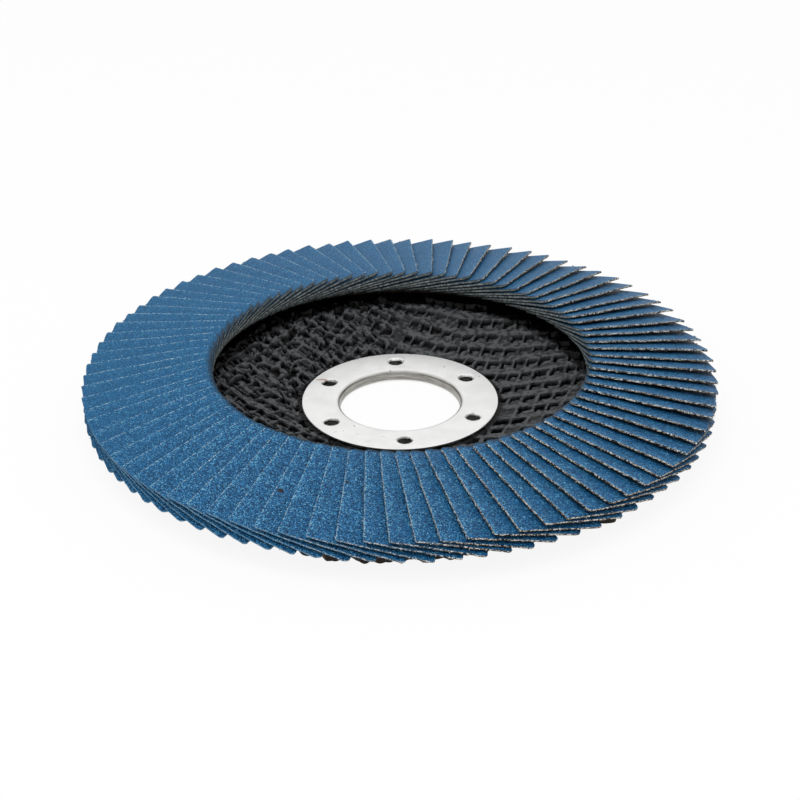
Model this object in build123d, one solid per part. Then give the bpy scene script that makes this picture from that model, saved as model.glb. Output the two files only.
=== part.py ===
from build123d import *
import math
import os

# Conical abrasive flap disc for a hand-held angle grinder.
# Millimetres. The origin is on the bore axis, on the rear seat of the arbor ring.
# +Z points from the machine towards the abrasive face, and the disc lies face up.

# Whole disc
disc_diameter = 116.0
bore_diameter = 22.23

# Arbor ring: two pressed steel flanges clinched through the plate
flange_thickness = 0.5
front_flange_diameter = 36.3
rear_flange_diameter = 34.0
collar_wall = 0.5
lip_radius = 0.8
collar_seam_height = 0.95
pierced_hole_count = 6
pierced_hole_diameter = 2.8
pierced_circle_diameter = 29.8
pierced_hole_start = 33.0
petal_count = 4
petal_length = 1.0
petal_root_width = 1.4
petal_root_overlap = 0.15
petal_thickness = 0.3
petal_lean = 12.0

# Backing plate: resin-bonded glass mesh, pressed to a depressed centre
hub_thickness = 1.3
hub_flat_radius = 18.9
bowl_rise = 4.3
bowl_top_radius = 36.0
bowl_thickness = 1.8
rim_radius = 53.2
rim_drop = 2.0
rim_thickness = 1.5
bend_radius = 1.6
plate_bore_clearance = 0.05
petal_clearance = 0.3

# Open weave of the top mesh, seen in the bowl
mesh_pitch_weft = 3.25
mesh_pitch_warp = 4.4
mesh_thread_width = 1.25
mesh_angle = -20.0
mesh_pit_depth = 0.6
mesh_margin = 0.3

# Abrasive flaps, glued edge to edge like fallen dominoes
flap_count = 84
flaps_per_node = 2
flap_width = 16.4
flap_thickness = 0.5
flap_offset = 5.8
flap_inner_radius = 34.8
free_edge_height_inner = 12.2
free_edge_height_outer = 9.2
flap_tilt = 14.5
flap_corner_cut = 0.6
flap_start_angle = 3.2

# Adhesive bed that the glued edges stand in
bed_inner_radius = 38.5
bed_edge_setback = 0.2
bed_depth = 0.6

# Sizes worked out from the ones above
bore_radius = bore_diameter / 2
hub_top = flange_thickness + hub_thickness
ring_top = hub_top + flange_thickness
collar_radius = bore_radius + collar_wall
plate_bore_radius = collar_radius + plate_bore_clearance
pierced_circle_radius = pierced_circle_diameter / 2
pierced_hole_radius = pierced_hole_diameter / 2
mesh_pit_width = mesh_pitch_weft - mesh_thread_width
mesh_pit_length = mesh_pitch_warp - mesh_thread_width
bowl_top = hub_top + bowl_rise
rim_top = bowl_top - rim_drop
bed_outer_radius = rim_radius - bed_edge_setback
flap_pitch = 360.0 / flap_count
flap_reach = flap_width * math.cos(math.radians(flap_tilt))
flap_fall = flap_width * math.sin(math.radians(flap_tilt))


def flap_inner_station():
    # Distance along a flap at which its inner free corner is at its radius.
    return math.sqrt(flap_inner_radius**2 - flap_offset**2)


def flap_outer_station():
    # Distance along a flap at which its clipped glued corner just reaches the disc's diameter.
    return math.sqrt((disc_diameter / 2)**2 - (flap_reach - flap_offset - flap_corner_cut)**2)


def plate_top_height(radius):
    # Height of the plate's top on its outer cone.
    share = (radius - bowl_top_radius) / (rim_radius - bowl_top_radius)
    return bowl_top - rim_drop * share


def pierced_hole_places():
    # Places of the pierced holes, on their circle in the front flange.
    return PolarLocations(pierced_circle_radius, pierced_hole_count, pierced_hole_start)


def make_petals():
    # Bite of one pierced hole: pointed tabs of the flange's metal, bent down round it.
    tab = Polygon(
        (-petal_root_width / 2, petal_root_overlap),
        (petal_root_width / 2, petal_root_overlap),
        (0, -petal_length),
        align=None,
    )
    tab = Rot(petal_lean, 0, 0) * extrude(Plane.XZ * tab, petal_thickness)
    places = PolarLocations(pierced_hole_radius - petal_thickness / 2, petal_count)
    return Part() + places * (Rot(0, 0, 90) * tab)


def make_front_flange():
    # Flat flange on the abrasive side, with its lip rolled into the bore.
    outline = Polygon(
        (bore_radius, ring_top),
        (front_flange_diameter / 2, ring_top),
        (front_flange_diameter / 2, hub_top),
        (collar_radius, hub_top),
        (collar_radius, collar_seam_height),
        (bore_radius, collar_seam_height),
        align=None,
    )
    lip_corner = outline.vertices().sort_by(Axis.X)[:2].sort_by(Axis.Y)[-1]
    outline = fillet(lip_corner, lip_radius)
    flange = revolve(Plane.XZ * outline, Axis.Z)
    drill = Cylinder(pierced_hole_radius, ring_top, align=(Align.CENTER, Align.CENTER, Align.MIN))
    flange -= pierced_hole_places() * drill
    return flange + pierced_hole_places() * (Pos(0, 0, hub_top) * make_petals())


def make_rear_flange():
    # Flange on the machine side, with the collar that meets the front lip.
    outline = Polygon(
        (bore_radius, 0),
        (rear_flange_diameter / 2, 0),
        (rear_flange_diameter / 2, flange_thickness),
        (collar_radius, flange_thickness),
        (collar_radius, collar_seam_height),
        (bore_radius, collar_seam_height),
        align=None,
    )
    return revolve(Plane.XZ * outline, Axis.Z)


def plate_profile():
    # Half section of the pressed plate. Its top face bends softly at the hub and at the bowl's top.
    outline = Polygon(
        (plate_bore_radius, hub_top),
        (hub_flat_radius, hub_top),
        (bowl_top_radius, bowl_top),
        (rim_radius, rim_top),
        (rim_radius, rim_top - rim_thickness),
        (bowl_top_radius, bowl_top - bowl_thickness),
        (hub_flat_radius, flange_thickness),
        (plate_bore_radius, flange_thickness),
        align=None,
    )
    corners = outline.vertices()
    hub_bend = corners.sort_by_distance(Vector(hub_flat_radius, hub_top))[0]
    bowl_bend = corners.sort_by_distance(Vector(bowl_top_radius, bowl_top))[0]
    return Plane.XZ * fillet([hub_bend, bowl_bend], bend_radius)


def mesh_pit_places():
    # Places of the weave's open cells that lie wholly in the bowl, each square to the bowl's cone.
    reach_in = hub_flat_radius + mesh_margin
    reach_out = bowl_top_radius - mesh_margin
    bowl_slope = math.degrees(math.atan2(bowl_rise, bowl_top_radius - hub_flat_radius))
    columns = math.ceil(reach_out / mesh_pitch_weft)
    rows = math.ceil(reach_out / mesh_pitch_warp)
    places = []
    for column in range(-columns, columns + 1):
        for row in range(-rows, rows + 1):
            x = column * mesh_pitch_weft
            y = row * mesh_pitch_warp
            inner_x = max(abs(x) - mesh_pit_width / 2, 0)
            inner_y = max(abs(y) - mesh_pit_length / 2, 0)
            nearest = math.hypot(inner_x, inner_y)
            farthest = math.hypot(abs(x) + mesh_pit_width / 2, abs(y) + mesh_pit_length / 2)
            if nearest > reach_in and farthest < reach_out:
                radius = math.hypot(x, y)
                bearing = math.degrees(math.atan2(y, x))
                share = (radius - hub_flat_radius) / (bowl_top_radius - hub_flat_radius)
                height = hub_top + bowl_rise * share
                on_cone = Rot(0, 0, bearing) * Pos(radius, 0, height) * Rot(0, -bowl_slope, 0)
                places.append(Rot(0, 0, mesh_angle) * on_cone * Rot(0, 0, -bearing))
    return places


def make_backing_plate():
    # Pressed plate: flat hub, rising bowl with the blind cells of its open weave, and conical rim.
    plate = revolve(plate_profile(), Axis.Z)
    cell = Box(mesh_pit_width, mesh_pit_length, 2 * mesh_pit_depth)
    petal_hole = Cylinder(pierced_hole_radius + petal_clearance, 2 * bowl_top)
    cells = [place * cell for place in mesh_pit_places()]
    return plate - cells - pierced_hole_places() * petal_hole


def make_flap():
    # One flat flap of stiff abrasive cloth, with its glued outer corner clipped.
    free_inner = Vector(flap_inner_station(), -flap_offset, free_edge_height_inner)
    free_outer = Vector(flap_outer_station(), -flap_offset, free_edge_height_outer)
    across = Vector(0, flap_reach, -flap_fall)
    grit_side = Face(Wire.make_polygon([free_inner, free_outer, free_outer + across, free_inner + across]))
    downward = across.cross(free_outer - free_inner).normalized()
    flap = extrude(grit_side, flap_thickness, dir=downward)
    clipped = free_outer + across + downward * flap_thickness / 2
    return chamfer(flap.edges().sort_by_distance(clipped)[0], flap_corner_cut)


def make_adhesive_bed(flaps):
    # Ring of resin on the plate's cone, moulded round the glued edges of the flaps.
    section = Polygon(
        (bed_inner_radius, plate_top_height(bed_inner_radius)),
        (bed_outer_radius, plate_top_height(bed_outer_radius)),
        (bed_outer_radius, bed_top_height(bed_outer_radius)),
        (bed_inner_radius, bed_top_height(bed_inner_radius)),
        align=None,
    )
    return revolve(Plane.XZ * section, Axis.Z) - flaps


def bed_top_height(radius):
    # The bed rises by its depth above the lowest line of the flaps, under their glued edges.
    share = (radius - flap_inner_station()) / (flap_outer_station() - flap_inner_station())
    free_edge_height = free_edge_height_inner + (free_edge_height_outer - free_edge_height_inner) * share
    return free_edge_height - flap_fall - flap_thickness + bed_depth


os.makedirs("parts", exist_ok=True)

flap = make_flap()
flaps = [Rot(0, 0, flap_start_angle + flap_pitch * index) * flap for index in range(flap_count)]

export_step(make_backing_plate(), "parts/backing_plate.step")
export_step(make_adhesive_bed(flaps), "parts/adhesive_bed.step")
export_step(make_front_flange(), "parts/arbor_flange_front.step")
export_step(make_rear_flange(), "parts/arbor_flange_rear.step")

for node in range(flap_count // flaps_per_node):
    first = node * flaps_per_node
    group = Compound(children=flaps[first : first + flaps_per_node])
    export_step(group, f"parts/flap_pair_{node + 1:02d}.step")
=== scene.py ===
import math
import random

import bpy
from mathutils import Matrix, Vector, noise


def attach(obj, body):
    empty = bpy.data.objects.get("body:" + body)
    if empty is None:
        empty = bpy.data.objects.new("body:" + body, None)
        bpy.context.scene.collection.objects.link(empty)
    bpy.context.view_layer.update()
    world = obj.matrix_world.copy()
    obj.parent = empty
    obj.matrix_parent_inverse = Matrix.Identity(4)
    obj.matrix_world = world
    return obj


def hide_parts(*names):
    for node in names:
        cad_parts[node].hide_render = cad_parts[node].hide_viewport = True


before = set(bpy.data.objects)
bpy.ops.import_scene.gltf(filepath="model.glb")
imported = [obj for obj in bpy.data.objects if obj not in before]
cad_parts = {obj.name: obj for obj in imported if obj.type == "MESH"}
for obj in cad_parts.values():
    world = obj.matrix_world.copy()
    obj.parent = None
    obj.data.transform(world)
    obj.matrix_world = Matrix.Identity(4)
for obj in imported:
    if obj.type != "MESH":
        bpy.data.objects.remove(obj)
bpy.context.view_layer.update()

mm = 0.001                              # metres
noiseSpan = {1: 0.3, 2: 0.7}            # nearly all of a noise texture's values lie between these
waveRib = 0.314                         # metres from rib to rib of a wave texture at scale 1
print("frame loaded")


def deselectAll():
    if bpy.context.object and bpy.context.object.mode != "OBJECT":
        bpy.ops.object.mode_set(mode="OBJECT")
    bpy.ops.object.select_all(action="DESELECT")


def makeActive(piece):
    deselectAll()
    piece.select_set(True)
    bpy.context.view_layer.objects.active = piece


def applyModifier(piece, kind, **settings):
    makeActive(piece)
    modifier = piece.modifiers.new(kind.title(), kind)
    for name, value in settings.items():
        setattr(modifier, name, value)
    bpy.ops.object.modifier_apply(modifier=modifier.name)


def cloudTexture(size):
    clouds = bpy.data.textures.new("clouds", "CLOUDS")
    clouds.noise_scale = size * mm
    return clouds


def pickVertices(piece, chosen):
    # leaves the piece in edit mode with the vertices selected whose place passes the test
    makeActive(piece)
    bpy.ops.object.mode_set(mode="EDIT")
    bpy.ops.mesh.select_mode(type="VERT")
    bpy.ops.mesh.select_all(action="DESELECT")
    bpy.ops.object.mode_set(mode="OBJECT")
    for vertex in piece.data.vertices:
        vertex.select = chosen(vertex.co)
    bpy.ops.object.mode_set(mode="EDIT")


def joinPieces(pieces, name):
    deselectAll()
    for piece in pieces:
        piece.select_set(True)
    bpy.context.view_layer.objects.active = pieces[0]
    bpy.ops.object.join()
    pieces[0].name = name
    return pieces[0]


def turnProfile(name, points, steps, subdivided=()):
    # draws a half section by extruding one vertex, divides some of its edges and spins it round the axis
    deselectAll()
    radius, height = points[0]
    bpy.ops.mesh.primitive_plane_add(size=mm, location=(0, 0, 0))
    piece = bpy.context.object
    piece.name = name
    bpy.ops.object.mode_set(mode="EDIT")
    bpy.ops.mesh.select_all(action="SELECT")
    bpy.ops.mesh.merge(type="CENTER")
    bpy.ops.transform.translate(value=(radius * mm, 0, height * mm))
    for start, end in zip(points, points[1:]):
        step = ((end[0] - start[0]) * mm, 0, (end[1] - start[1]) * mm)
        bpy.ops.mesh.extrude_vertices_move(TRANSFORM_OT_translate={"value": step})
    for first, last, cuts in subdivided:
        pickVertices(piece, lambda place: insideBox(place, points[first], points[last]))
        bpy.ops.mesh.subdivide(number_cuts=cuts)
    bpy.ops.mesh.select_all(action="SELECT")
    bpy.ops.mesh.spin(steps=steps, angle=math.tau, center=(0, 0, 0), axis=(0, 0, 1))
    bpy.ops.mesh.select_all(action="SELECT")
    bpy.ops.mesh.remove_doubles(threshold=0.001 * mm)
    bpy.ops.mesh.normals_make_consistent(inside=False)
    bpy.ops.object.mode_set(mode="OBJECT")
    return piece


def insideBox(place, start, end):
    slack = 0.001
    inRadius = min(start[0], end[0]) - slack < place.x / mm < max(start[0], end[0]) + slack
    inHeight = min(start[1], end[1]) - slack < place.z / mm < max(start[1], end[1]) + slack
    return inRadius and inHeight


def finishPiece(piece, nodes, angle=40):
    makeActive(piece)
    bpy.ops.object.shade_smooth_by_angle(angle=math.radians(angle))
    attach(piece, "root")
    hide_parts(*nodes)


def ease(value):
    value = min(1.0, max(0.0, value))
    return value * value * (3 - 2 * value)


def linearColour(hexCode):
    channels = [int(hexCode[place : place + 2], 16) / 255 for place in (1, 3, 5)]
    return [c / 12.92 if c <= 0.04045 else ((c + 0.055) / 1.055) ** 2.4 for c in channels] + [1.0]


def newMaterial(name):
    material = bpy.data.materials.new(name)
    material.use_nodes = True
    material.node_tree.nodes.clear()
    return material


def addNode(material, kind, inputs=None, stops=None, **settings):
    # one node with its settings, and each input, by name or number, either linked to a socket or given a value
    tree = material.node_tree
    node = tree.nodes.new(kind)
    for name, value in settings.items():
        setattr(node, name, value)
    if stops:
        ramp = node.color_ramp
        while len(ramp.elements) < len(stops):
            ramp.elements.new(0.5)
        for element, (place, hexCode) in zip(ramp.elements, stops):
            element.position = place
            element.color = linearColour(hexCode)
    for name, value in (inputs or {}).items():
        if isinstance(value, bpy.types.NodeSocket):
            tree.links.new(value, node.inputs[name])
        else:
            node.inputs[name].default_value = value
    return node


gritLook = {
    "grain": 0.16,                                  # mm between grains
    "grains": [(0.0, "#082038"), (0.25, "#123e62"), (0.60, "#1b5b8d"), (0.90, "#367fb0"), (1.0, "#74b4d2")],
    "clump": 1.3, "clumpShift": 0.05,               # mm across a clump of grains, and how far it shifts their tone
    "patch": 6.0, "patchTone": (0.95, 1.05),        # mm across a patch of thicker or thinner size coat, its tones
    "sheenReach": 0.08, "sheenShift": 0.10,         # share of the width with a painted highlight on the grains, and how much paler it makes them
    "packed": "#23608a", "packedShare": 0.6,        # fine dust between the grains
    "packedHeading": (-0.6, 0.8, 0), "packedStart": -15, "packedEnd": 25,       # mm over which it builds up
    "chip": "#b4ccd4", "chipSize": 0.35, "chipShare": 0.65,
    "chipReach": 0.034, "chipStart": 0.93,          # share of the width that has chips, and how rare they are
    "dust": "#1d2326", "dustShare": 0.85, "dustReach": 0.035,
    "spots": [(-19.5, -44.2, 10.3, 0.75), (-8.7, -42.8, 10.8, 0.4)],        # place and radius of the burnt specks
    "burnt": "#241c1c",
    "roughness": 0.5, "bumpStrength": 0.7, "bumpDepth": 0.12,
}


def zirconiaGrit():
    # grains sprinkled on the cloth and locked under a blue resin size coat: a fine sparkle on a matt ground
    look = gritLook
    material = newMaterial("zirconia grit in blue resin")
    place = addNode(material, "ShaderNodeTexCoord").outputs["Object"]
    grains = addNode(material, "ShaderNodeTexVoronoi", {"Vector": place, "Scale": 1 / (look["grain"] * mm)})
    clumps = addNode(material, "ShaderNodeTexNoise", {
        "Vector": place, "Scale": 1 / (look["clump"] * mm), "Detail": 3.0})
    patches = addNode(material, "ShaderNodeTexNoise", {
        "Vector": place, "Scale": 1 / (look["patch"] * mm), "Detail": 2.0})
    tone = addNode(material, "ShaderNodeSeparateColor", {0: grains.outputs["Color"]})
    clumpShift = addNode(material, "ShaderNodeMapRange", {
        0: clumps.outputs["Fac"], **noiseSpan, 3: -look["clumpShift"], 4: look["clumpShift"]})
    # painted highlight: the grains are paler near the free edge, standing in for their sparkle in the light
    across = addNode(material, "ShaderNodeSeparateXYZ", {0: addNode(material, "ShaderNodeUVMap").outputs[0]})
    edgeSheen = addNode(material, "ShaderNodeMapRange", {
        0: across.outputs[1], 1: 0.0, 2: look["sheenReach"], 3: look["sheenShift"], 4: 0.0})
    shift = addNode(material, "ShaderNodeMath", {0: edgeSheen.outputs[0], 1: clumpShift.outputs[0]}, operation="ADD")
    shifted = addNode(material, "ShaderNodeMath", {0: tone.outputs[0], 1: shift.outputs[0]}, operation="ADD")
    colour = addNode(material, "ShaderNodeValToRGB", {0: shifted.outputs[0]}, stops=look["grains"])
    thinnest, thickest = look["patchTone"]
    mottle = addNode(material, "ShaderNodeMapRange", {
        0: patches.outputs["Fac"], **noiseSpan, 3: thinnest, 4: thickest})
    tinted = addNode(material, "ShaderNodeVectorMath", {
        0: colour.outputs[0], "Scale": mottle.outputs[0]}, operation="SCALE")
    # fine dust has packed between the grains of the flaps on one side and evens them out
    sunken = addNode(material, "ShaderNodeVectorMath", {0: place, 1: look["packedHeading"]}, operation="DOT_PRODUCT")
    packed = addNode(material, "ShaderNodeMapRange", {
        0: sunken.outputs["Value"], 1: look["packedStart"] * mm, 2: look["packedEnd"] * mm, 3: 0.0,
        4: look["packedShare"]})
    evened = addNode(material, "ShaderNodeMix", {
        0: packed.outputs[0], 6: tinted.outputs[0], 7: linearColour(look["packed"])}, data_type="RGBA")
    # pale chips and lint along the free edge, where the cut has shed the grains
    nearEdge = addNode(material, "ShaderNodeMapRange", {
        0: across.outputs[1], 1: 0.0, 2: look["chipReach"], 3: 0.5, 4: 0.0})
    chips = addNode(material, "ShaderNodeTexNoise", {
        "Vector": place, "Scale": 1 / (look["chipSize"] * mm), "Detail": 3.0})
    chipLevel = addNode(material, "ShaderNodeMath", {
        0: nearEdge.outputs[0], 1: chips.outputs["Fac"]}, operation="ADD")
    chipMask = addNode(material, "ShaderNodeMapRange", {
        0: chipLevel.outputs[0], 1: look["chipStart"], 2: 1.0, 3: 0.0, 4: look["chipShare"]})
    chipped = addNode(material, "ShaderNodeMix", {
        0: chipMask.outputs[0], 6: evened.outputs[2], 7: linearColour(look["chip"])}, data_type="RGBA")
    # dark dust at the inner ends
    dustMask = addNode(material, "ShaderNodeMapRange", {
        0: across.outputs[0], 1: 0.0, 2: look["dustReach"], 3: look["dustShare"], 4: 0.0})
    surface = addNode(material, "ShaderNodeMix", {
        0: dustMask.outputs[0], 6: chipped.outputs[2], 7: linearColour(look["dust"])}, data_type="RGBA")
    for x, y, z, radius in look["spots"]:
        reach = addNode(material, "ShaderNodeVectorMath", {
            0: place, 1: (x * mm, y * mm, z * mm)}, operation="DISTANCE")
        spotMask = addNode(material, "ShaderNodeMapRange", {
            0: reach.outputs["Value"], 1: radius * 0.6 * mm, 2: radius * mm, 3: 1.0, 4: 0.0})
        surface = addNode(material, "ShaderNodeMix", {
            0: spotMask.outputs[0], 6: surface.outputs[2], 7: linearColour(look["burnt"])}, data_type="RGBA")
    bump = addNode(material, "ShaderNodeBump", {
        "Strength": look["bumpStrength"], "Distance": look["bumpDepth"] * mm,
        "Height": grains.outputs["Distance"]}, invert=True)
    principled = addNode(material, "ShaderNodeBsdfPrincipled", {
        "Base Color": surface.outputs[2], "Roughness": look["roughness"], "IOR": 1.5, "Normal": bump.outputs[0],
        "Specular IOR Level": 0.2})
    addNode(material, "ShaderNodeOutputMaterial", {"Surface": principled.outputs[0]})
    return material


edgeLook = {
    "thread": 0.20,                                 # mm from thread to thread of the cut cloth
    "shift": 0.12,                                  # how much paler the grit side is, and darker the back as a painted shade of the gap under the edge
    "threads": [(0.18, "#0b0b0b"), (0.42, "#3d342d"), (0.66, "#8f867a"), (0.90, "#e6e2da")],
    "dust": "#4f86ab", "dustShare": 0.8, "dustStart": 12, "dustEnd": -22,       # loose grit, building up along x
}


def cutCloth():
    # the sawn edge of stiff poly-cotton cloth: pale thread ends under the grit, and towards the back a painted shade of
    # the gap under the edge
    look = edgeLook
    material = newMaterial("cut edge of poly-cotton cloth")
    place = addNode(material, "ShaderNodeTexCoord").outputs["Object"]
    ends = addNode(material, "ShaderNodeTexVoronoi", {"Vector": place, "Scale": 1 / (look["thread"] * mm)})
    tone = addNode(material, "ShaderNodeSeparateColor", {0: ends.outputs["Color"]})
    depth = addNode(material, "ShaderNodeAttribute", attribute_name="depth")
    # painted shade: the edge is darkened towards the back, where the gap under it lies in shadow
    paleTopShadedBack = addNode(material, "ShaderNodeMapRange", {
        0: depth.outputs["Fac"], 1: 0.4, 2: 0.9, 3: look["shift"], 4: -look["shift"]})
    shifted = addNode(material, "ShaderNodeMath", {0: tone.outputs[0], 1: paleTopShadedBack.outputs[0]}, operation="ADD")
    threads = addNode(material, "ShaderNodeValToRGB", {0: shifted.outputs[0]}, stops=look["threads"])
    # loose blue grit has settled on the edges of one side
    side = addNode(material, "ShaderNodeSeparateXYZ", {0: place})
    dusted = addNode(material, "ShaderNodeMapRange", {
        0: side.outputs[0], 1: look["dustStart"] * mm, 2: look["dustEnd"] * mm, 3: 0.0, 4: look["dustShare"]})
    colour = addNode(material, "ShaderNodeMix", {
        0: dusted.outputs[0], 6: threads.outputs[0], 7: linearColour(look["dust"])}, data_type="RGBA")
    bump = addNode(material, "ShaderNodeBump", {
        "Strength": 0.8, "Distance": 0.12 * mm, "Height": ends.outputs["Distance"]}, invert=True)
    principled = addNode(material, "ShaderNodeBsdfPrincipled", {
        "Base Color": colour.outputs[2], "Roughness": 0.85, "IOR": 1.45, "Normal": bump.outputs[0],
        "Specular IOR Level": 0.2})
    addNode(material, "ShaderNodeOutputMaterial", {"Surface": principled.outputs[0]})
    return material


innerLook = {
    "thread": 0.45,                                 # mm across a bundle of threads
    "threads": [(0.34, "#24292b"), (0.50, "#646c6e"), (0.66, "#9ba3a2")],
    "shadedFoot": (6.9, 8.9), "footShadeTone": 0.08,       # heights over which a painted shade at the foot of the wall fades out, and its tone
    "middle": 0.45, "layerTones": (1.1, 0.2),       # depth of the palest layer, and the tones in and beside it
}


def resinedEnds():
    # the flaps' inner ends, sealed with grey resin and dust, with a painted shade darkening the foot of the wall
    look = innerLook
    material = newMaterial("resined ends of poly-cotton cloth")
    place = addNode(material, "ShaderNodeTexCoord").outputs["Object"]
    ends = addNode(material, "ShaderNodeTexNoise", {
        "Vector": place, "Scale": 1 / (look["thread"] * mm), "Detail": 4.0, "Roughness": 0.7})
    colour = addNode(material, "ShaderNodeValToRGB", {0: ends.outputs["Fac"]}, stops=look["threads"])
    level = addNode(material, "ShaderNodeSeparateXYZ", {0: place})
    # painted shade: the lower part of the wall is darkened
    low, high = look["shadedFoot"]
    footShade = addNode(material, "ShaderNodeMapRange", {
        0: level.outputs[2], 1: low * mm, 2: high * mm, 3: look["footShadeTone"], 4: 1.0})
    # each end shows the dark grit layer, the pale cloth and a dark joint
    depth = addNode(material, "ShaderNodeAttribute", attribute_name="depth")
    fromMiddle = addNode(material, "ShaderNodeMath", {
        0: depth.outputs["Fac"], 1: look["middle"]}, operation="SUBTRACT")
    fromMiddle = addNode(material, "ShaderNodeMath", {0: fromMiddle.outputs[0]}, operation="ABSOLUTE")
    inLayer, besideIt = look["layerTones"]
    layer = addNode(material, "ShaderNodeMapRange", {
        0: fromMiddle.outputs[0], 1: 0.2, 2: 0.45, 3: inLayer, 4: besideIt})
    shade = addNode(material, "ShaderNodeMath", {0: footShade.outputs[0], 1: layer.outputs[0]}, operation="MULTIPLY")
    shaded = addNode(material, "ShaderNodeVectorMath", {
        0: colour.outputs[0], "Scale": shade.outputs[0]}, operation="SCALE")
    bump = addNode(material, "ShaderNodeBump", {"Strength": 0.8, "Distance": 0.15 * mm, "Height": ends.outputs["Fac"]})
    principled = addNode(material, "ShaderNodeBsdfPrincipled", {
        "Base Color": shaded.outputs[0], "Roughness": 0.75, "IOR": 1.5, "Normal": bump.outputs[0],
        "Specular IOR Level": 0.3})
    addNode(material, "ShaderNodeOutputMaterial", {"Surface": principled.outputs[0]})
    return material


backLook = {
    "thread": 0.55,                                 # mm from rib to rib of the twill
    "ribs": [(0.1, "#2f2620"), (0.9, "#6f5d4c")],
}


def clothBack():
    # the cloth's bare side: a tight twill stiffened with brown resin
    look = backLook
    material = newMaterial("back of resin-stiffened poly-cotton cloth")
    place = addNode(material, "ShaderNodeTexCoord").outputs["Object"]
    ribs = addNode(material, "ShaderNodeTexWave", {
        "Vector": place, "Scale": waveRib / (look["thread"] * mm), "Distortion": 1.5, "Detail": 2.0,
        "Detail Scale": 1.5}, bands_direction="DIAGONAL")
    colour = addNode(material, "ShaderNodeValToRGB", {0: ribs.outputs["Fac"]}, stops=look["ribs"])
    bump = addNode(material, "ShaderNodeBump", {"Strength": 0.6, "Distance": 0.1 * mm, "Height": ribs.outputs["Fac"]})
    principled = addNode(material, "ShaderNodeBsdfPrincipled", {
        "Base Color": colour.outputs[0], "Roughness": 0.8, "IOR": 1.45, "Normal": bump.outputs[0],
        "Specular IOR Level": 0.3})
    addNode(material, "ShaderNodeOutputMaterial", {"Surface": principled.outputs[0]})
    return material


weaveLook = {
    # tones by relief: black in the cells as painted shade, palest on the highest crowns as a painted highlight
    "threads": [(0.34, "#000000"), (0.50, "#121213"), (0.62, "#232426"), (0.90, "#2c2d2f"), (1.0, "#4e5052")],
    "rim": "#241b15", "rimStart": 52.4, "rimFade": 0.5, "rimShare": 0.8,
    "smear": 0.8, "smearShift": 0.12,               # mm across a smear of resin, and how far it shifts the tone
    "gloss": (0.24, 0.5),                           # roughness of the thin and the thick smears
    "backWeft": 4.2, "backWarp": 3.15, "backAngle": -20,        # mm from thread to thread of the second mesh
}


def resinGlassWeave():
    # glass mesh soaked in black phenolic resin and hot pressed: glossy on the threads, dull in the cells; the cells are
    # painted black as shade and the highest crowns palest as a painted highlight
    look = weaveLook
    material = newMaterial("black phenolic resin on glass mesh")
    place = addNode(material, "ShaderNodeTexCoord").outputs["Object"]
    height = addNode(material, "ShaderNodeAttribute", attribute_name="reliefShade")
    smears = addNode(material, "ShaderNodeTexNoise", {
        "Vector": place, "Scale": 1 / (look["smear"] * mm), "Detail": 5.0, "Roughness": 0.65})
    smearShift = addNode(material, "ShaderNodeMapRange", {
        0: smears.outputs["Fac"], **noiseSpan, 3: -look["smearShift"], 4: look["smearShift"]})
    level = addNode(material, "ShaderNodeMath", {
        0: height.outputs["Fac"], 1: smearShift.outputs[0]}, operation="ADD")
    # painted shade and highlight: black where the relief is low, palest where it is highest
    colour = addNode(material, "ShaderNodeValToRGB", {0: level.outputs[0]}, stops=look["threads"])
    # the rim is brown with glue
    flat = addNode(material, "ShaderNodeVectorMath", {0: place, 1: (1, 1, 0)}, operation="MULTIPLY")
    radius = addNode(material, "ShaderNodeVectorMath", {0: flat.outputs["Vector"]}, operation="LENGTH")
    rimMask = addNode(material, "ShaderNodeMapRange", {
        0: radius.outputs["Value"], 1: look["rimStart"] * mm, 2: (look["rimStart"] + look["rimFade"]) * mm, 3: 0.0,
        4: look["rimShare"]})
    glued = addNode(material, "ShaderNodeMix", {
        0: rimMask.outputs[0], 6: colour.outputs[0], 7: linearColour(look["rim"])}, data_type="RGBA")
    # the second mesh shows through the skin of resin, most plainly on the back
    turned = addNode(material, "ShaderNodeMapping", {
        "Vector": place, "Rotation": (0, 0, math.radians(look["backAngle"]))})
    wefts, warps = [
        addNode(material, "ShaderNodeTexWave", {
            "Vector": turned.outputs[0], "Scale": waveRib / (look[pitch] * mm), "Distortion": 0.6},
            bands_direction=direction)
        for pitch, direction in (("backWeft", "Y"), ("backWarp", "X"))]
    mesh = addNode(material, "ShaderNodeMath", {
        0: wefts.outputs["Fac"], 1: warps.outputs["Fac"]}, operation="MAXIMUM")
    mesh = addNode(material, "ShaderNodeMath", {0: mesh.outputs[0], 1: smears.outputs["Fac"]}, operation="ADD")
    glossy, dull = look["gloss"]
    rough = addNode(material, "ShaderNodeMapRange", {0: smears.outputs["Fac"], **noiseSpan, 3: glossy, 4: dull})
    bump = addNode(material, "ShaderNodeBump", {"Strength": 0.6, "Distance": 0.18 * mm, "Height": mesh.outputs[0]})
    principled = addNode(material, "ShaderNodeBsdfPrincipled", {
        "Base Color": glued.outputs[2], "Roughness": rough.outputs[0], "IOR": 1.5, "Normal": bump.outputs[0],
        "Specular IOR Level": 0.14})
    addNode(material, "ShaderNodeOutputMaterial", {"Surface": principled.outputs[0]})
    return material


glueLook = {
    "lump": 1.6,                                    # mm across a lump of the skin
    "lumps": [(0.35, "#100b09"), (0.7, "#33271f")],
}


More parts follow.
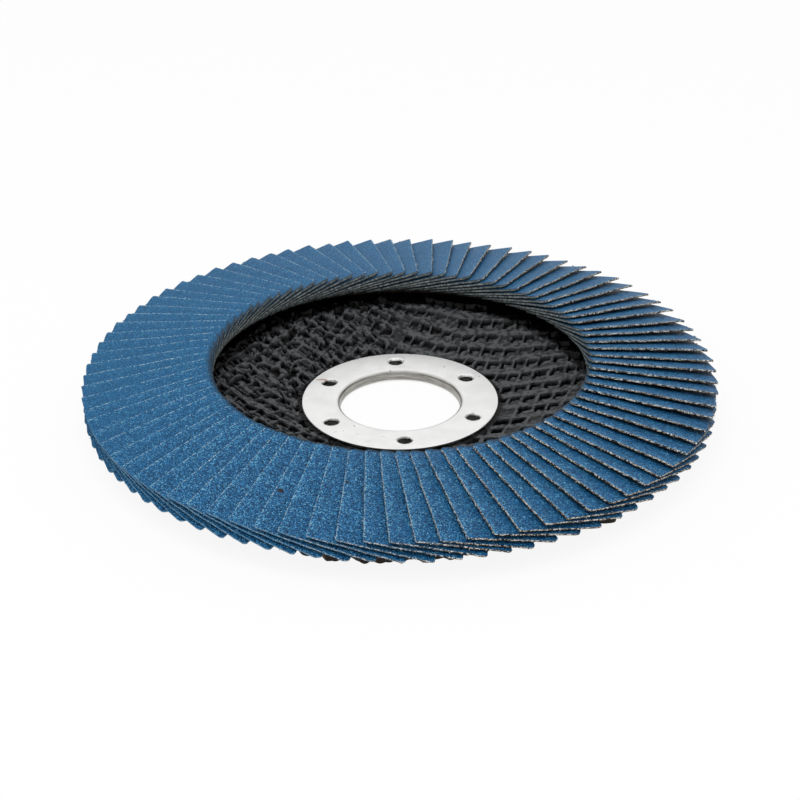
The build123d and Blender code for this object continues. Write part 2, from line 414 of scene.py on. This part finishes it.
def brownEpoxy():
    # poured epoxy, cured dark brown, with a lumpy skin
    look = glueLook
    material = newMaterial("cured brown epoxy")
    place = addNode(material, "ShaderNodeTexCoord").outputs["Object"]
    lumps = addNode(material, "ShaderNodeTexNoise", {"Vector": place, "Scale": 1 / (look["lump"] * mm), "Detail": 4.0})
    colour = addNode(material, "ShaderNodeValToRGB", {0: lumps.outputs["Fac"]}, stops=look["lumps"])
    bump = addNode(material, "ShaderNodeBump", {"Strength": 0.7, "Distance": 0.3 * mm, "Height": lumps.outputs["Fac"]})
    principled = addNode(material, "ShaderNodeBsdfPrincipled", {
        "Base Color": colour.outputs[0], "Roughness": 0.45, "IOR": 1.52, "Normal": bump.outputs[0],
        "Specular IOR Level": 0.3})
    addNode(material, "ShaderNodeOutputMaterial", {"Surface": principled.outputs[0]})
    return material


steelLook = {
    "haze": [(0.35, "#eeeeed"), (0.62, "#f4f4f3")],
    "drawnDarkReflection": [(0.35, "#86847e"), (0.65, "#b3b1ab")],        # the wall of the bore, darkened as a painted reflection of dark surroundings
    "tornAndShaded": [(0.45, "#050404"), (0.62, "#6a645d")],       # the torn metal in the holes, near black as painted shade
    "scratches": [(-11.7, -11.9, 40, 0.9), (-10.3, -11.6, 65, 0.6), (-7.7, -12.7, 40, 1.0), (-5.8, -15.3, 5, 1.3),
                  (-3.0, -13.8, -20, 0.9), (14.6, 10.2, 30, 2.2), (-8.7, 11.6, 10, 0.4), (-14.3, 2.7, 70, 0.4)],
    "rust": "#9a6a45", "rustPlace": (-14.6, 7.9, 2.3), "rustStretch": (0.7, 2.6, 1.0),
    "pit": "#6f6c68", "pitCell": 2.1, "pitChance": 0.16,    # mm from pit to pit, and the share of cells that have one
    "hazeSize": 3.2, "ringSize": 3.0, "crumbSize": 0.5,     # mm
    "boreWall": 12.4,                                       # radius inside which the bore's finish holds
    "lip": (1.95, 2.3), "roll": (1.78, 1.92), "back": (0.3, 0.5),       # heights over which one finish turns to another: satin to the bore's painted reflection, to the holes' painted shade, and back to satin underneath
    "gloss": (0.40, 0.30),
}


def zincPlatedSteel():
    # stamped sheet steel with a bright zinc plating: satin on the flat, dull where it was drawn or torn; these dark
    # colours are a painted reflection in the bore and a painted shade in the holes
    look = steelLook
    material = newMaterial("zinc plated sheet steel")
    place = addNode(material, "ShaderNodeTexCoord").outputs["Object"]
    haze = addNode(material, "ShaderNodeTexNoise", {
        "Vector": place, "Scale": 1 / (look["hazeSize"] * mm), "Detail": 4.0})
    satin = addNode(material, "ShaderNodeValToRGB", {0: haze.outputs["Fac"]}, stops=look["haze"])
    # rings left by the drawing tool, on a colour darkened as a painted reflection
    stretched = addNode(material, "ShaderNodeVectorMath", {0: place, 1: (1, 1, 14)}, operation="MULTIPLY")
    rings = addNode(material, "ShaderNodeTexNoise", {
        "Vector": stretched.outputs["Vector"], "Scale": 1 / (look["ringSize"] * mm), "Detail": 2.0})
    drawnDarkReflection = addNode(material, "ShaderNodeValToRGB", {0: rings.outputs["Fac"]}, stops=look["drawnDarkReflection"])
    crumbs = addNode(material, "ShaderNodeTexNoise", {
        "Vector": place, "Scale": 1 / (look["crumbSize"] * mm), "Detail": 3.0})
    tornAndShaded = addNode(material, "ShaderNodeValToRGB", {0: crumbs.outputs["Fac"]}, stops=look["tornAndShaded"])
    flat = addNode(material, "ShaderNodeVectorMath", {0: place, 1: (1, 1, 0)}, operation="MULTIPLY")
    radius = addNode(material, "ShaderNodeVectorMath", {0: flat.outputs["Vector"]}, operation="LENGTH")
    inBore = addNode(material, "ShaderNodeMath", {
        0: radius.outputs["Value"], 1: look["boreWall"] * mm}, operation="LESS_THAN")
    # painted reflection in the bore, painted shade in the holes
    hidden = addNode(material, "ShaderNodeMix", {
        0: inBore.outputs[0], 6: tornAndShaded.outputs[0], 7: drawnDarkReflection.outputs[0]}, data_type="RGBA")
    level = addNode(material, "ShaderNodeSeparateXYZ", {0: place})
    onLip, onRoll, aboveBack = [
        addNode(material, "ShaderNodeMapRange", {0: level.outputs[2], 1: low * mm, 2: high * mm, 3: 0.0, 4: 1.0})
        for low, high in (look["lip"], look["roll"], look["back"])]
    onTop = addNode(material, "ShaderNodeMix", {0: inBore.outputs[0], 2: onRoll.outputs[0], 3: onLip.outputs[0]})
    underneath = addNode(material, "ShaderNodeMath", {0: 1.0, 1: aboveBack.outputs[0]}, operation="SUBTRACT")
    satinShare = addNode(material, "ShaderNodeMath", {0: onTop.outputs[0], 1: underneath.outputs[0]}, operation="MAXIMUM")
    metal = addNode(material, "ShaderNodeMix", {
        0: satinShare.outputs[0], 6: hidden.outputs[2], 7: satin.outputs[0]}, data_type="RGBA")
    # a few pits, each a speck in its own cell
    cells = addNode(material, "ShaderNodeTexVoronoi", {"Vector": place, "Scale": 1 / (look["pitCell"] * mm)})
    chance = addNode(material, "ShaderNodeSeparateColor", {0: cells.outputs["Color"]})
    rare = addNode(material, "ShaderNodeMath", {0: chance.outputs[0], 1: look["pitChance"]}, operation="LESS_THAN")
    speck = addNode(material, "ShaderNodeMapRange", {0: cells.outputs["Distance"], 1: 0.06, 2: 0.12, 3: 0.75, 4: 0.0})
    pitMask = addNode(material, "ShaderNodeMath", {0: rare.outputs[0], 1: speck.outputs[0]}, operation="MULTIPLY")
    pitted = addNode(material, "ShaderNodeMix", {
        0: pitMask.outputs[0], 6: metal.outputs[2], 7: linearColour(look["pit"])}, data_type="RGBA")
    # short scratches and dents, given by place, heading and length
    for x, y, heading, length in look["scratches"]:
        laid = addNode(material, "ShaderNodeMapping", {
            "Vector": place, "Location": (x * mm, y * mm, 0), "Rotation": (0, 0, math.radians(heading)),
            "Scale": (length, 0.12, 100)}, vector_type="TEXTURE")
        reach = addNode(material, "ShaderNodeVectorMath", {0: laid.outputs[0]}, operation="LENGTH")
        mark = addNode(material, "ShaderNodeMapRange", {
            0: reach.outputs["Value"], 1: 0.3 * mm, 2: 0.6 * mm, 3: 0.6, 4: 0.0})
        pitted = addNode(material, "ShaderNodeMix", {
            0: mark.outputs[0], 6: pitted.outputs[2], 7: linearColour(look["pit"])}, data_type="RGBA")
    # one rust stain that ran from a hole
    fromRust = addNode(material, "ShaderNodeVectorMath", {
        0: place, 1: [c * mm for c in look["rustPlace"]]}, operation="SUBTRACT")
    squeezed = addNode(material, "ShaderNodeVectorMath", {
        0: fromRust.outputs["Vector"], 1: look["rustStretch"]}, operation="MULTIPLY")
    reach = addNode(material, "ShaderNodeVectorMath", {0: squeezed.outputs["Vector"]}, operation="LENGTH")
    rustMask = addNode(material, "ShaderNodeMapRange", {
        0: reach.outputs["Value"], 1: 0.3 * mm, 2: 1.2 * mm, 3: 0.75, 4: 0.0})
    stained = addNode(material, "ShaderNodeMix", {
        0: rustMask.outputs[0], 6: pitted.outputs[2], 7: linearColour(look["rust"])}, data_type="RGBA")
    dull, glossy = look["gloss"]
    rough = addNode(material, "ShaderNodeMapRange", {0: haze.outputs["Fac"], **noiseSpan, 3: dull, 4: glossy})
    principled = addNode(material, "ShaderNodeBsdfPrincipled", {
        "Base Color": stained.outputs[2], "Metallic": 1.0, "Roughness": rough.outputs[0]})
    addNode(material, "ShaderNodeOutputMaterial", {"Surface": principled.outputs[0]})
    return material


flapShape = {
    "count": 84,
    "kinds": 12, "kindSeed": 400, "orderSeed": 84,      # differently worn flaps, each used several times round the disc
    "length": 23.45, "width": 16.2, "thickness": 0.32,
    "cutsAlong": 72, "cutsAcross": 14,
    "innerStation": 34.31, "offset": -5.8, "freeHeight": 12.0,
    "tilt": 14.5, "slope": 7.5,
    "startAngle": 3.2,
    "tipRound": 0.8, "innerRound": 1.3, "freeRound": 0.3,
    "trimRadius": 57.95,                                # the finished disc is trimmed round
    "bead": 0.1, "beadReach": 1.6,                      # resin that thickens the inner ends, and how far it goes
    "endDepth": 0.9,                                    # mm from the inner end that count as its face
    "edgeWander": 0.12, "endWander": 0.14, "wave": 0.12,
    "droop": (-1.5, 4.0), "droopShares": (0.80, 0.87, 0.94),        # degrees, and where along the flap it bends
    "placeJitter": 0.3, "liftJitter": 0.05,
    "bunches": [(-30, 14, -1.1), (-91, 8, 0.8)],        # bearing, spread and lead of flaps glued out of step, degrees
    "tufts": 18, "tuftsOnFreeEdge": 0.65,
    "tuftLength": (0.2, 0.5), "tuftRadii": (0.07, 0.03), "tuftDepth": (0.05, 0.35),
}


def roundCorner(corner, sideX, sideY, radius):
    # rounds a corner of the flat flap with three straight cuts; the sides say which way is out
    centre = corner - Vector((sideX, sideY, 0)) * radius
    for turn in (22, 45, 68):
        heading = math.radians(turn)
        outward = Vector((sideX * math.cos(heading), sideY * math.sin(heading), 0))
        bpy.ops.mesh.select_all(action="SELECT")
        bpy.ops.mesh.bisect(plane_co=centre + outward * radius, plane_no=outward, clear_outer=True)


def modelFlap(kind, finishes):
    shape = flapShape
    dice = random.Random(shape["kindSeed"] + kind)
    deselectAll()
    length, width = shape["length"] * mm, shape["width"] * mm
    bpy.ops.mesh.primitive_grid_add(x_subdivisions=shape["cutsAlong"], y_subdivisions=shape["cutsAcross"], size=1,
                                    location=(length / 2, width / 2, 0))
    flap = bpy.context.object
    flap.scale = (length, width, 1)
    bpy.ops.object.transform_apply(location=True, rotation=True, scale=True)
    for finish in finishes:
        flap.data.materials.append(finish)
    # the corners are worn round
    bpy.ops.object.mode_set(mode="EDIT")
    roundCorner(Vector((length, width, 0)), 1, 1, shape["tipRound"] * mm * dice.uniform(0.7, 1.6))
    roundCorner(Vector((0, 0, 0)), -1, -1, shape["innerRound"] * mm * dice.uniform(0.6, 1.3))
    roundCorner(Vector((length, 0, 0)), 1, -1, shape["freeRound"] * mm * dice.uniform(0.5, 1.8))
    bpy.ops.object.mode_set(mode="OBJECT")
    # hand-cut edges wander, and the stiff cloth waves a little
    seedShift = Matrix.Translation((kind * 0.05, 0, 0))
    flap.data.transform(seedShift)
    for direction, size, strength in (("Y", 0.9, shape["edgeWander"]), ("X", 1.2, shape["endWander"]),
                                      ("Z", 9.0, shape["wave"])):
        applyModifier(flap, "DISPLACE", texture=cloudTexture(size), texture_coords="LOCAL", direction=direction,
                      strength=strength * mm * 2, mid_level=0.5)
    flap.data.transform(seedShift.inverted())
    # the outer end bends down where it was knocked
    droop = math.radians(dice.uniform(*shape["droop"]))
    for share in shape["droopShares"]:
        pickVertices(flap, lambda place: place.x > length * share)
        bpy.ops.transform.rotate(value=-droop / len(shape["droopShares"]), orient_axis="Y",
                                 center_override=(length * share, 0, 0))
    bpy.ops.object.mode_set(mode="OBJECT")
    gritVertices = len(flap.data.vertices)
    applyModifier(flap, "SOLIDIFY", thickness=shape["thickness"] * mm, offset=-1, material_offset=2,
                  material_offset_rim=1)
    # depth is 0 on the grit side and 1 on the back, and the inner ends get their bead of resin
    depth = flap.data.attributes.new("depth", "FLOAT", "POINT")
    for vertex, value in zip(flap.data.vertices, depth.data):
        value.value = float(vertex.index >= gritVertices)
        if vertex.index >= gritVertices:
            vertex.co.z -= shape["bead"] * mm * ease(1 - vertex.co.x / mm / shape["beadReach"])
    for face in flap.data.polygons:
        if face.material_index == 1 and face.center.x < shape["endDepth"] * mm and face.normal.x < -0.3:
            face.material_index = 3
    tufts = [growTuft(dice, length, width, finishes[1]) for _ in range(shape["tufts"])]
    return joinPieces([flap] + tufts, f"flapKind{kind:02d}")


def growTuft(dice, length, width, finish):
    # a stub of loose thread on the free edge or on the outer end
    shape = flapShape
    onFreeEdge = dice.random() < shape["tuftsOnFreeEdge"]
    if onFreeEdge:
        place = Vector((dice.uniform(0.04, 0.97) * length, 0, 0))
        aim = Vector((dice.uniform(-0.8, 0.8), -1, dice.uniform(-0.5, 0.5)))
    else:
        place = Vector((length, dice.uniform(0.04, 0.88) * width, 0))
        aim = Vector((1, dice.uniform(-0.8, 0.8), dice.uniform(-0.5, 0.1)))
    place.z = -dice.uniform(*shape["tuftDepth"]) * mm
    reach = dice.uniform(*shape["tuftLength"]) * mm
    root, tip = shape["tuftRadii"]
    deselectAll()
    bpy.ops.mesh.primitive_cone_add(vertices=3, radius1=root * mm, radius2=tip * mm, depth=reach,
                                    location=place + aim.normalized() * reach * 0.2,
                                    rotation=aim.to_track_quat("Z", "Y").to_euler())
    tuft = bpy.context.object
    tuft.data.materials.append(finish)
    return tuft


def flapBearing(number, dice):
    # flaps stand at an even pitch, each a little off, and bunched in places
    shape = flapShape
    bearing = shape["startAngle"] + 360 / shape["count"] * number + dice.uniform(-1, 1) * shape["placeJitter"]
    lead = 0
    for centre, spread, most in shape["bunches"]:
        away = (bearing - centre + 180) % 360 - 180
        lead += most * math.exp(-((away / spread) ** 2))
    return math.radians(bearing + lead)


def makeFlaps(finishes):
    shape = flapShape
    kinds = [modelFlap(kind, finishes) for kind in range(shape["kinds"])]
    print("flap kinds modelled:", len(kinds))
    dice = random.Random(shape["orderSeed"])
    order = []
    while len(order) < shape["count"]:
        batch = list(range(shape["kinds"]))
        dice.shuffle(batch)
        order += batch
    lean = Matrix.Rotation(math.radians(shape["slope"]), 4, "Y") @ Matrix.Rotation(-math.radians(shape["tilt"]), 4, "X")
    for pair in range(shape["count"] // 2):
        halves = []
        for number in (2 * pair, 2 * pair + 1):
            copied = kinds[order[number]].copy()
            copied.data = copied.data.copy()
            bpy.context.collection.objects.link(copied)
            lift = shape["freeHeight"] + dice.uniform(-1, 1) * shape["liftJitter"]
            start = Matrix.Translation((shape["innerStation"] * mm, shape["offset"] * mm, lift * mm))
            copied.data.transform(Matrix.Rotation(flapBearing(number, dice), 4, "Z") @ start @ lean)
            for vertex in copied.data.vertices:
                radius = vertex.co.xy.length
                vertex.co.xy *= min(1, shape["trimRadius"] * mm / radius)
            halves.append(copied)
        piece = joinPieces(halves, f"flapPair{pair + 1:02d}")
        finishPiece(piece, [f"flap_pair_{pair + 1:02d}"])
    for kind in kinds:
        bpy.data.objects.remove(kind)


plateShape = {
    "top": [(11.7, 1.8), (18.7, 1.8), (19.5, 1.95), (36.0, 6.1), (53.2, 4.1)],
    "under": [(53.2, 2.6), (36.0, 4.3), (18.9, 0.5), (11.7, 0.5)],
    "steps": 800, "bowlCuts": 82,
    "weft": 4.2, "warp": 2.85,                          # mm from thread to thread
    "weftSlope": 0.48, "weftBow": 0.0054,               # how the threads slant, and how they bend away from it
    "warpSlope": 0.49, "warpFan": 0.0066,
    "pit": -0.45, "crown": 0.42,                        # floor of the cells and top of the threads, from the face
    "slotStart": 0.66, "slotSpread": 0.10,              # share of a cell before its slot, and how much that varies
    "widerSlots": 0.25,                                 # how much sooner the slots start on the near side
    "warpShare": 0.17,                                  # share of a cell that the warp covers
    "filled": 0.65,                                     # a cell whose chance is above this is filled with resin
    "slip": 0.16,                                       # how rare the slanting slots are
    "lumps": 0.24, "fineLumps": 0.15,                   # mm of resin lumps, in two sizes
    "weaveStart": 18.65, "weaveEnd": 36.2,              # radii between which the face has threads
    "shadeStart": 33.0, "shadeReach": 1.8, "shade": 0.8,        # painted shadow under the far flaps that darkens the threads
    "ragged": 0.9, "raggedStart": 53.0,
    "shreds": [(-95, 15, 1.6), (-50, 4, 2.2)],          # bearing, spread and reach of glue hanging from the rim
}


def weaveHeight(x, y):
    # height of the top glass mesh at a place in the bowl, all in millimetres
    shape = plateShape
    # the threads lie looser towards the left
    loose = 0.5 + ease((12 - x) / 26)
    wander = noise.noise(Vector((x * 0.12, y * 0.12, 3)))
    wander += noise.noise(Vector((x * 0.45, y * 0.45, 6))) * 0.6 * loose
    across = y + shape["weftSlope"] * x - shape["weftBow"] * x * x + wander
    along = x - (shape["warpSlope"] - shape["warpFan"] * x) * y + noise.noise(Vector((x * 0.15, y * 0.15, 9))) * 0.7
    nudge = 0.25 * loose * noise.noise(Vector((x * 0.4, y * 0.4, 1)))
    row, up = divmod(across / shape["weft"], 1)
    column, side = divmod(along / shape["warp"] + nudge, 1)
    chance = noise.cell(Vector((row + 0.5, column + 0.5, 2.5)))
    # each cell is open as a slot under the next weft and down the side of its warp; resin has filled the rest
    start = shape["slotStart"] + shape["slotSpread"] * chance - shape["widerSlots"] * ease((-5 - y) / 8)
    slot = ease((up - start) / 0.10) * ease((side - 0.18) / 0.08) * ease((0.92 - side) / 0.10)
    tail = ease((up - 0.44) / 0.14) * ease((side - 0.16) / 0.06) * ease((0.38 - side) / 0.10)
    hollow = max(slot, tail) * (1 - 0.8 * ease((chance - shape["filled"]) / 0.2))
    # on the left the threads have slipped, and thin slanting slots open between them
    slipped = noise.noise(Vector(((0.62 * x - 0.78 * y) * 0.42, (0.78 * x + 0.62 * y) * 1.45, 20)))
    hollow = max(hollow, ease((slipped - shape["slip"]) / 0.12) * ease((6 - x) / 14))
    weft = shape["crown"] * (1 - 0.25 * ease((up - 0.1) / 0.6))
    level = weft + (shape["pit"] - weft) * hollow
    # the warps pass over and under the wefts by turns
    if side < shape["warpShare"]:
        level = max(level, shape["crown"] * (0.75 + 0.35 * math.cos(math.pi * (row + column))))
    lumps = noise.noise(Vector((x * 1.1, y * 1.1, 0))) * shape["lumps"]
    lumps += noise.noise(Vector((x * 2.6, y * 2.6, 4))) * shape["fineLumps"] * loose
    return level + lumps


def makePlate(finish):
    shape = plateShape
    points = shape["top"] + shape["under"]
    plate = turnProfile("wovenPlate", points + points[:1], shape["steps"], [(2, 3, shape["bowlCuts"]), (1, 2, 3)])
    # relief is 0 in the cells, and under and round the flange as a painted shadow, 1 on the threads, and between them
    # where the face is plain
    reliefShade = plate.data.attributes.new("reliefShade", "FLOAT", "POINT")
    for vertex, height in zip(plate.data.vertices, reliefShade.data):
        x, y, z = vertex.co / mm
        radius = math.hypot(x, y)
        # painted shadow: the weave turns black under and just round the flange
        height.value = 0.0 if z > 1.7 and radius < 19.2 else 0.45
        onFace = z > 1.2 + 0.24 * (radius - 18.7)           # nearer the bowl's face than its back
        if shape["weaveStart"] < radius < shape["weaveEnd"] and onFace:
            # the threads fade in from the flange in height, and in colour as part of the painted shadow
            fade = min(1, (radius - 18.5) / 0.7)
            level = weaveHeight(x, y)
            # painted shadow under the far flaps
            shaded = 1 - shape["shade"] * ease((radius - shape["shadeStart"]) / shape["shadeReach"]) * ease(y / 12)
            height.value = fade * shaded * (level - shape["pit"]) / (shape["crown"] - shape["pit"])
            vertex.co.z += (level - shape["crown"] - 0.2) * fade * mm
        if radius > shape["raggedStart"]:
            ragged = shape["ragged"] * noise.noise(Vector((x * 0.9, y * 0.9, z * 0.6))) - 0.1
            for bearing, spread, reach in shape["shreds"]:
                away = (math.degrees(math.atan2(y, x)) - bearing + 180) % 360 - 180
                frayed = 0.8 + noise.noise(Vector((x * 0.5, y * 0.5, 8)))
                ragged += reach * math.exp(-((away / spread) ** 4)) * frayed
            vertex.co += Vector((x, y, 0)) / radius * ragged * mm
    plate.data.materials.append(finish)
    finishPiece(plate, ["backing_plate"], angle=60)


flangeShape = {
    "steps": 192, "bore": 11.115, "outer": 18.15, "thickness": 0.5, "top": 2.3,
    "corner": 0.08,                                     # the edge that the press leaves
    "lip": 0.8, "lipSteps": 8,
    "collar": 0.5, "seam": 0.95, "seamDepth": 0.06, "seamEdge": 0.05,
    "rearOuter": 17.0, "rearEntry": 0.3,
    "holes": 6, "holeCircle": 14.9, "hole": 1.4, "rolled": 0.18, "firstHole": 33.0,
    "roll": [(0.95, 0.03), (0.94, 0.09), (0.95, 0.16), (0.98, 0.24)],       # each step's narrowing and drop
    "petals": 4, "petalDrop": 0.75, "petalPull": 0.12,
    "torn": 0.10, "tornSize": 0.45, "biteWall": 0.12,
}


def lipArc(radius, centreRadius, centreHeight, steps):
    turns = [math.pi / 2 + math.pi / 2 * step / steps for step in range(steps + 1)]
    return [(centreRadius + radius * math.cos(turn), centreHeight + radius * math.sin(turn)) for turn in turns]


def makeFrontFlange(finish):
    shape = flangeShape
    under = shape["top"] - shape["thickness"]
    corner = shape["corner"]
    lip = lipArc(shape["lip"], shape["bore"] + shape["lip"], shape["top"] - shape["lip"], shape["lipSteps"])
    points = [(shape["outer"], under), (shape["outer"], shape["top"] - corner), (shape["outer"] - corner, shape["top"])]
    points += lip
    points += [(shape["bore"], shape["seam"] + shape["seamEdge"]), (shape["bore"] + shape["seamDepth"], shape["seam"]),
               (shape["bore"] + shape["collar"], shape["seam"]), (shape["bore"] + shape["collar"], under)]
    flange = turnProfile("frontFlange", points + points[:1], shape["steps"])
    petals = []
    for number in range(shape["holes"]):
        bearing = math.radians(shape["firstHole"] + 360 / shape["holes"] * number)
        place = Vector((math.cos(bearing), math.sin(bearing), 0)) * shape["holeCircle"] * mm
        deselectAll()
        bpy.ops.mesh.primitive_cylinder_add(vertices=48, radius=(shape["hole"] + shape["rolled"]) * mm, depth=6 * mm,
                                            location=place)
        drill = bpy.context.object
        applyModifier(flange, "BOOLEAN", object=drill, operation="DIFFERENCE", solver="EXACT")
        bpy.data.objects.remove(drill)
        petals.append(modelBite(place, bearing))
    flange = joinPieces([flange] + petals, "frontFlange")
    flange.data.materials.clear()
    flange.data.materials.append(finish)
    finishPiece(flange, ["arbor_flange_front"], angle=35)


def modelBite(place, bearing):
    # the punched rim of a hole, rolled down into pointed petals
    shape = flangeShape
    deselectAll()
    bpy.ops.mesh.primitive_circle_add(vertices=32, radius=(shape["hole"] + shape["rolled"] + 0.04) * mm,
                                      location=(0, 0, 0))
    bite = bpy.context.object
    bpy.ops.object.mode_set(mode="EDIT")
    for narrower, drop in shape["roll"]:
        bpy.ops.mesh.extrude_region_move(TRANSFORM_OT_translate={"value": (0, 0, -drop * mm)})
        bpy.ops.transform.resize(value=(narrower, narrower, 1))
    bpy.ops.object.mode_set(mode="OBJECT")
    lowest = min(vertex.co.z for vertex in bite.data.vertices)
    for vertex in bite.data.vertices:
        if vertex.co.z < lowest + 0.01 * mm:
            turn = math.atan2(vertex.co.y, vertex.co.x)
            point = abs(math.cos(shape["petals"] / 2 * turn)) ** 1.5
            vertex.co.z -= shape["petalDrop"] * mm * point
            vertex.co.x *= 1 - shape["petalPull"] * point
            vertex.co.y *= 1 - shape["petalPull"] * point
        if vertex.co.z < -0.02 * mm:
            torn = 1 + shape["torn"] * noise.noise((vertex.co + place) / (shape["tornSize"] * mm))
            vertex.co.x *= torn
            vertex.co.y *= torn
    applyModifier(bite, "SOLIDIFY", thickness=shape["biteWall"] * mm, offset=0)
    # the roll starts a hair under the flange's face
    bite.data.transform(Matrix.Translation(place + Vector((0, 0, (shape["top"] - 0.015) * mm)))
                        @ Matrix.Rotation(bearing, 4, "Z"))
    return bite


def makeRearFlange(finish):
    shape = flangeShape
    corner, entry = shape["corner"], shape["rearEntry"]
    points = [(shape["bore"], entry), (shape["bore"] + entry, 0), (shape["rearOuter"] - corner, 0),
              (shape["rearOuter"], corner), (shape["rearOuter"], shape["thickness"]),
              (shape["bore"] + shape["collar"], shape["thickness"]), (shape["bore"] + shape["collar"], shape["seam"]),
              (shape["bore"] + shape["seamDepth"], shape["seam"]), (shape["bore"], shape["seam"] - shape["seamEdge"])]
    flange = turnProfile("rearFlange", points + points[:1], shape["steps"])
    flange.data.materials.append(finish)
    finishPiece(flange, ["arbor_flange_rear"], angle=35)


bedShape = {
    "section": [(38.5, 5.7), (53.0, 4.0), (53.0, 5.4), (46.0, 6.5), (38.5, 7.4)],
    "steps": 360,
    "squeezed": 0.8, "squeezedStart": 52.5,             # mm that the bead is squeezed out or stays back at the rim
    "ripple": 0.2,
}


def makeBed(finish):
    shape = bedShape
    section = shape["section"]
    bed = turnProfile("adhesiveBed", section + section[:1], shape["steps"], [(0, 1, 3), (2, 4, 12)])
    for vertex in bed.data.vertices:
        x, y, z = vertex.co / mm
        radius = math.hypot(x, y)
        push = noise.noise(Vector((x * 0.5, y * 0.5, z))) * shape["squeezed"]
        if radius > shape["squeezedStart"]:
            vertex.co += Vector((x, y, 0)) / radius * push * mm
        vertex.co.z += noise.noise(Vector((x * 0.7, y * 0.7, 5))) * shape["ripple"] * mm
    bed.data.materials.append(finish)
    finishPiece(bed, ["adhesive_bed"], angle=60)


def seenWhite(owner):
    # 1 for the rays that look at the backdrop: from the camera, off gloss and through glass
    ray = addNode(owner, "ShaderNodeLightPath")
    seen = addNode(owner, "ShaderNodeMath", {
        0: ray.outputs["Is Camera Ray"], 1: ray.outputs["Is Glossy Ray"]}, operation="MAXIMUM")
    seen = addNode(owner, "ShaderNodeMath", {
        0: seen.outputs[0], 1: ray.outputs["Is Transmission Ray"]}, operation="MAXIMUM")
    return seen.outputs[0]


sweepLook = {"size": 1.6, "paper": "#f8f8f8", "whiteness": 0.9}     # the rest of the white leaves the shadow


def makeStage():
    look = sweepLook
    deselectAll()
    bpy.ops.mesh.primitive_plane_add(size=look["size"], location=(0, 0.2, -0.2 * mm))
    floor = bpy.context.object
    floor.name = "floor"
    material = newMaterial("white paper sweep")
    share = addNode(material, "ShaderNodeMath", {0: seenWhite(material), 1: look["whiteness"]}, operation="MULTIPLY")
    paper = addNode(material, "ShaderNodeBsdfDiffuse", {"Color": linearColour(look["paper"])})
    white = addNode(material, "ShaderNodeEmission", {"Color": (1, 1, 1, 1), "Strength": 1.0})
    mixed = addNode(material, "ShaderNodeMixShader", {0: share.outputs[0], 1: paper.outputs[0], 2: white.outputs[0]})
    # from below the sheet is clear, so that the underside of the disc can be looked at
    side = addNode(material, "ShaderNodeNewGeometry")
    clear = addNode(material, "ShaderNodeBsdfTransparent")
    sheet = addNode(material, "ShaderNodeMixShader", {
        0: side.outputs["Backfacing"], 1: mixed.outputs[0], 2: clear.outputs[0]})
    addNode(material, "ShaderNodeOutputMaterial", {"Surface": sheet.outputs[0]})
    floor.data.materials.append(material)


lightPlan = {"fill": 0.62, "power": 4.6, "size": (0.80, 0.60), "place": (-0.10, -0.42, 0.83)}


def makeLight():
    # an even white room, and one large softbox above and before the disc
    plan = lightPlan
    world = bpy.data.worlds.new("white studio")
    bpy.context.scene.world = world
    world.use_nodes = True
    world.node_tree.nodes.clear()
    level = addNode(world, "ShaderNodeMapRange", {0: seenWhite(world), 3: plan["fill"], 4: 1.0})
    room = addNode(world, "ShaderNodeBackground", {"Color": (1, 1, 1, 1), "Strength": level.outputs[0]})
    addNode(world, "ShaderNodeOutputWorld", {"Surface": room.outputs[0]})
    lamp = bpy.data.lights.new("softbox", "AREA")
    lamp.shape = "RECTANGLE"
    lamp.size, lamp.size_y = plan["size"]
    lamp.energy = plan["power"]
    softbox = bpy.data.objects.new("softbox", lamp)
    bpy.context.collection.objects.link(softbox)
    softbox.location = plan["place"]
    softbox.visible_glossy = False      # the bright steel would show its outline
    softbox.rotation_euler = (-softbox.location).to_track_quat("-Z", "Y").to_euler()


cameraPlace = {
    "elevation": 29.03, "roll": 0.54, "distance": 348.0, "lens": 84.6,
    "ringTop": 2.3, "right": 0.01, "up": 0.15,          # height looked at, and how far off the view's middle it lies
}


def makeCamera():
    place = cameraPlace
    tip = math.radians(place["elevation"])
    roll = math.radians(place["roll"])
    right = Vector((1, 0, 0))
    up = Vector((0, math.sin(tip), math.cos(tip)))
    ahead = Vector((0, math.cos(tip), -math.sin(tip)))
    stand = Vector((0, 0, place["ringTop"])) - place["distance"] * ahead - place["right"] * right - place["up"] * up
    rolledRight = math.cos(roll) * right - math.sin(roll) * up
    rolledUp = math.sin(roll) * right + math.cos(roll) * up
    turn = Matrix((rolledRight, rolledUp, -ahead)).transposed().to_4x4()
    lens = bpy.data.cameras.new("camera")
    lens.lens = place["lens"]
    lens.sensor_width = 36
    lens.clip_start = 0.01
    camera = bpy.data.objects.new("camera", lens)
    bpy.context.collection.objects.link(camera)
    camera.matrix_world = Matrix.Translation(stand * mm) @ turn
    bpy.context.scene.camera = camera


steel = zincPlatedSteel()
makeFlaps([zirconiaGrit(), cutCloth(), clothBack(), resinedEnds()])
print("flaps placed")
makePlate(resinGlassWeave())
print("plate made")
makeFrontFlange(steel)
makeRearFlange(steel)
print("flanges made")
makeBed(brownEpoxy())
print("bed made")
makeStage()
makeLight()
makeCamera()
print("floor, light and camera set")
bpy.context.scene.view_settings.view_transform = "Standard"
